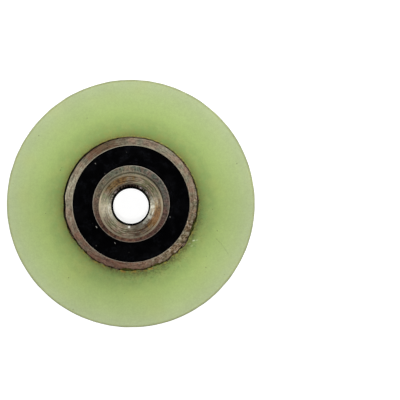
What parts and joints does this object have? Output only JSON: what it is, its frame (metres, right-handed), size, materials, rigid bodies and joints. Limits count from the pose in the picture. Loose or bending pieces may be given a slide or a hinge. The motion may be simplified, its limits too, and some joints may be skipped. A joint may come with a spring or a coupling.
{
  "type": "v groove wheel",
  "caption": "Wheel with a V groove round its rim, turning on a sealed ball bearing that is carried by a hollow sleeve with a bolt bore and a stub on one side.",
  "frame": {"origin": "centre of the wheel's plain face, which the part lies on", "axes": "+Z along the wheel's axis, towards the free end of the stub"},
  "size_m": [0.0762, 0.0762, 0.0321],
  "materials": {
    "tyre": "waxy translucent green moulding, darker round the bearing",
    "sleeve_steel": "turned steel with fine tool marks, rust patches on the stub's end",
    "ring_steel": "ground bearing steel, brownish and grimy at the edges",
    "seal_rubber": "matt black, a few specks of dust",
    "cage_steel": "pressed sheet steel",
    "ball_steel": "polished"
  },
  "bodies": {
    "hub": {"sleeve": "sleeve_steel", "inner_ring": "ring_steel"},
    "wheel": {"tyre": "tyre", "outer_ring": "ring_steel", "seal_top": "seal_rubber", "seal_bottom": "seal_rubber", "washer_top": "cage_steel", "washer_bottom": "cage_steel"},
    "cage": {"cage_top": "cage_steel", "cage_bottom": "cage_steel", "cage_rivets": "cage_steel"},
    "ball_1_body": {"ball_1": "ball_steel"},
    "ball_2_body": {"ball_2": "ball_steel"},
    "ball_3_body": {"ball_3": "ball_steel"},
    "ball_4_body": {"ball_4": "ball_steel"},
    "ball_5_body": {"ball_5": "ball_steel"},
    "ball_6_body": {"ball_6": "ball_steel"},
    "ball_7_body": {"ball_7": "ball_steel"},
    "ball_8_body": {"ball_8": "ball_steel"},
    "ball_9_body": {"ball_9": "ball_steel"}
  },
  "joints": [
    {"name": "wheel_spin", "type": "hinge", "parent": "hub", "child": "wheel", "pos_m": [0, 0, 0.00667], "axis": [0, 0, 1], "continuous": true},
    {"name": "cage_spin", "type": "hinge", "parent": "hub", "child": "cage", "pos_m": [0, 0, 0.00667], "axis": [0, 0, 1], "continuous": true},
    {"name": "ball_1_roll", "type": "hinge", "parent": "cage", "child": "ball_1_body", "pos_m": [0.01508, 0, 0.00667], "axis": [0, 0, 1], "continuous": true},
    {"name": "ball_2_roll", "type": "hinge", "parent": "cage", "child": "ball_2_body", "pos_m": [0.01155, 0.00969, 0.00667], "axis": [0, 0, 1], "continuous": true},
    {"name": "ball_3_roll", "type": "hinge", "parent": "cage", "child": "ball_3_body", "pos_m": [0.00262, 0.01485, 0.00667], "axis": [0, 0, 1], "continuous": true},
    {"name": "ball_4_roll", "type": "hinge", "parent": "cage", "child": "ball_4_body", "pos_m": [-0.00754, 0.01306, 0.00667], "axis": [0, 0, 1], "continuous": true},
    {"name": "ball_5_roll", "type": "hinge", "parent": "cage", "child": "ball_5_body", "pos_m": [-0.01417, 0.00516, 0.00667], "axis": [0, 0, 1], "continuous": true},
    {"name": "ball_6_roll", "type": "hinge", "parent": "cage", "child": "ball_6_body", "pos_m": [-0.01417, -0.00516, 0.00667], "axis": [0, 0, 1], "continuous": true},
    {"name": "ball_7_roll", "type": "hinge", "parent": "cage", "child": "ball_7_body", "pos_m": [-0.00754, -0.01306, 0.00667], "axis": [0, 0, 1], "continuous": true},
    {"name": "ball_8_roll", "type": "hinge", "parent": "cage", "child": "ball_8_body", "pos_m": [0.00262, -0.01485, 0.00667], "axis": [0, 0, 1], "continuous": true},
    {"name": "ball_9_roll", "type": "hinge", "parent": "cage", "child": "ball_9_body", "pos_m": [0.01155, -0.00969, 0.00667], "axis": [0, 0, 1], "continuous": true}
  ],
  "couplings": [
    {"joint": "cage_spin", "follows": "wheel_spin", "ratio": 0.60526},
    {"joint": "ball_1_roll", "follows": "wheel_spin", "ratio": 2.2697},
    {"joint": "ball_2_roll", "follows": "wheel_spin", "ratio": 2.2697},
    {"joint": "ball_3_roll", "follows": "wheel_spin", "ratio": 2.2697},
    {"joint": "ball_4_roll", "follows": "wheel_spin", "ratio": 2.2697},
    {"joint": "ball_5_roll", "follows": "wheel_spin", "ratio": 2.2697},
    {"joint": "ball_6_roll", "follows": "wheel_spin", "ratio": 2.2697},
    {"joint": "ball_7_roll", "follows": "wheel_spin", "ratio": 2.2697},
    {"joint": "ball_8_roll", "follows": "wheel_spin", "ratio": 2.2697},
    {"joint": "ball_9_roll", "follows": "wheel_spin", "ratio": 2.2697}
  ]
}
